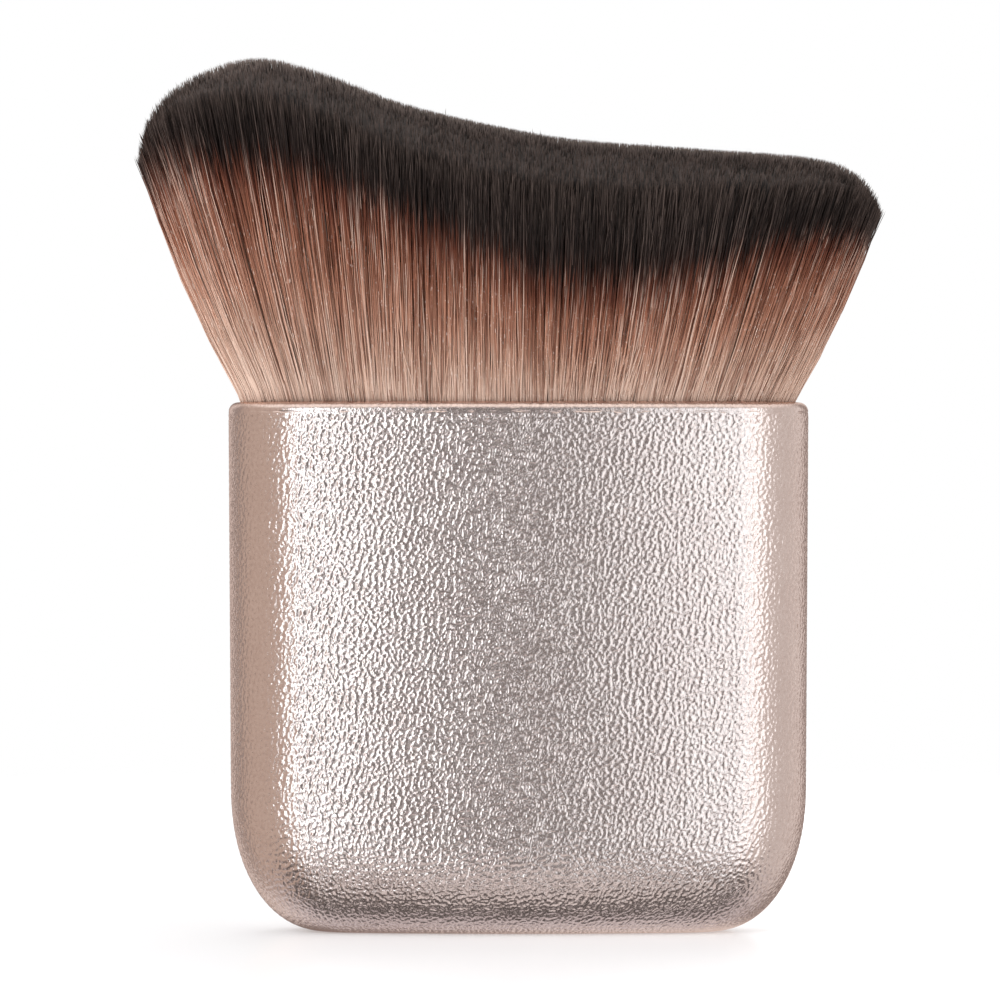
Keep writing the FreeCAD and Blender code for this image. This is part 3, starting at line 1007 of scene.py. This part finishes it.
studio = {
    "distance": 700.0,  # camera to the middle of the brush
    "aim": (-2.006, 46.8),  # X and Z that the middle of the picture looks at
    "frameWidth": 108.75,
    "floor": 420.0,
    "sensor": 36.0,
    "lightColour": (0.92, 1.0, 1.06),
}

softboxes = {  # place, aim, size, watts and whether the metal mirrors it
    "keyLeft": ((-242, -438, 60), (0, 0, 10), (92, 480), 0.6, True),
    "fillRight": ((294, -405, 60), (0, 0, 10), (400, 480), 0.79, True),
    "hairFill": ((-260, -330, 220), (0, 0, 60), (350, 300), 1.18, False),
    "hairLeft": ((-480, 40, 140), (0, 0, 75), (300, 300), 0.7, False),
    "hairRight": ((480, 40, 140), (0, 0, 75), (300, 300), 0.6, False),
    "hairBack": ((60, 480, 260), (0, 0, 70), (400, 300), 1.5, False),
}

shades = {  # linear colours of the surroundings
    "dimPane": (0.08, 0.072, 0.07, 1),
    "brightPane": (0.37, 0.34, 0.335, 1),
    "left": (0.64, 0.51, 0.44, 1),
    "right": (0.76, 0.69, 0.66, 1),
    "below": (0.78, 0.72, 0.74, 1),
    "lowFront": (0.1, 0.088, 0.085, 1),
    "panel": (1.1, 1.03, 1.02, 1),
    "overhead": (0.8, 0.8, 0.8, 1),
    "mirroredOverhead": (1.3, 1.16, 1.08, 1),
    "darkBehind": (0.34, 0.3, 0.29, 1),
    "brightBehind": (1.05, 1.0, 0.98, 1),
    "backdrop": (1.0, 1.0, 1.0, 1),
}


def makeFloor():
    # pale floor that fades out at its edge; glossy rays pass it
    glow = {"Emission Color": (1, 1, 1, 1), "Emission Strength": 0.2}
    finish = Finish("paleFloor", 0.2, {"Specular IOR Level": 0.1, **glow})
    place = finish.place()
    cloud = finish.noise(place, 9)
    finish.feed("Base Color", cloud.ease(0.3, 0.7).blend(rgba(249, 249, 249), rgba(251, 251, 251)))
    across, along = [finish.axis(place, axis) * (1 / mm) for axis in range(2)]
    radius = (across * across + along * along) ** 0.5
    glossy = finish.start.node("LightPath", {}, {}, "Is Glossy Ray")
    gone = glossy.larger(radius.ease(0.5 * studio["floor"], studio["floor"]))
    clear = finish.start.node("BsdfTransparent", {}, {})
    painted = Wire(finish.tree, finish.shader.outputs[0])
    mixed = finish.start.node("MixShader", {}, {0: gone, 1: painted, 2: clear})
    finish.tree.links.new(mixed.socket, finish.tree.nodes["Material Output"].inputs["Surface"])
    half = studio["floor"]
    points = np.array([(-half, -half, 0), (half, -half, 0), (half, half, 0), (-half, half, 0)])
    mesh = bpy.data.meshes.new("floor")
    mesh.from_pydata((points * mm).tolist(), [], [(0, 1, 2, 3)])
    mesh.materials.append(finish.material)
    floor = addObject("floor", mesh)


def addSoftbox(name, place, aim, size, watts, mirrored):
    light = bpy.data.lights.new(name, "AREA")
    light.shape = "RECTANGLE"
    light.size, light.size_y = size[0] * mm, size[1] * mm
    light.energy = watts
    light.color = studio["lightColour"]
    box = addObject(name, light)
    box.location = Vector(place) * mm
    way = box.location - Vector(aim) * mm
    box.rotation_euler = way.to_track_quat("Z", "Y").to_euler()
    box.visible_glossy = mirrored


def makeWorld():
    # what the metal mirrors: a dim room round the camera, warm sides, white overhead; the backdrop is white
    world = bpy.data.worlds.new("studio")
    scene.world = world
    world.use_nodes = True
    tree = world.node_tree
    start = Wire(tree, None)
    way = start.node("TexCoord", {}, {}, "Generated")
    across, depth, height = [start.node("SeparateXYZ", {}, {0: way}, axis) for axis in range(3)]
    aside = abs(across)
    # small panes round the camera, which the middle of the front mirrors
    panes = (across * 18).sin() * (height * 18 + 0.8).sin()
    room = panes.ease(-0.6, 0.6).blend(shades["dimPane"], shades["brightPane"])
    sides = across.ease(-0.6, 0.6).blend(shades["left"], shades["right"])
    sides = (1 - height.ease(-0.8, -0.4)).blend(sides, shades["below"])
    colour = aside.ease(0.52, 0.7).larger(depth.ease(-0.27, -0.1)).blend(room, sides)
    # dark low in front, with a panel that the rounded foot of the front mirrors
    lowFront = (1 - height.ease(-0.65, -0.45)) * (1 - depth.ease(-0.2, 0.05))
    colour = lowFront.blend(colour, shades["lowFront"])
    panel = height.ease(-0.8, -0.7) * (1 - height.ease(-0.5, -0.38))
    panel = panel * (1 - aside.ease(0.3, 0.45)) * (1 - depth.ease(-0.4, -0.2))
    colour = panel.blend(colour, shades["panel"])
    mirrored = start.node("LightPath", {}, {}, "Is Glossy Ray")
    overhead = mirrored.blend(shades["overhead"], shades["mirroredOverhead"])
    colour = height.ease(0.45, 0.8).blend(colour, overhead)
    # light and dark panels behind the brush, which only its back mirrors
    bands = (across * 10).sin().ease(-0.5, 0.7)
    bands = bands.blend(shades["darkBehind"], shades["brightBehind"])
    behind = depth.ease(0.4, 0.6) * (1 - height.ease(0.35, 0.5))
    colour = behind.blend(colour, bands)
    seen = start.node("LightPath", {}, {}, "Is Camera Ray")
    colour = seen.blend(colour, shades["backdrop"])
    tree.links.new(colour.socket, tree.nodes["Background"].inputs["Color"])
    tree.nodes["Background"].inputs["Strength"].default_value = 1.0


def makeCamera():
    data = bpy.data.cameras.new("camera")
    data.sensor_width = studio["sensor"]
    data.lens = studio["sensor"] * studio["distance"] / studio["frameWidth"]
    data.clip_start, data.clip_end = 0.01, 20
    camera = addObject("camera", data)
    camera.location = (studio["aim"][0] * mm, -studio["distance"] * mm, studio["aim"][1] * mm)
    camera.rotation_euler = (math.pi / 2, 0, 0)
    scene.camera = camera


makeFloor()
makeWorld()
for name, settings in softboxes.items():
    addSoftbox(name, *settings)
makeCamera()
scene.view_settings.view_transform = "Standard"
print("studio done")
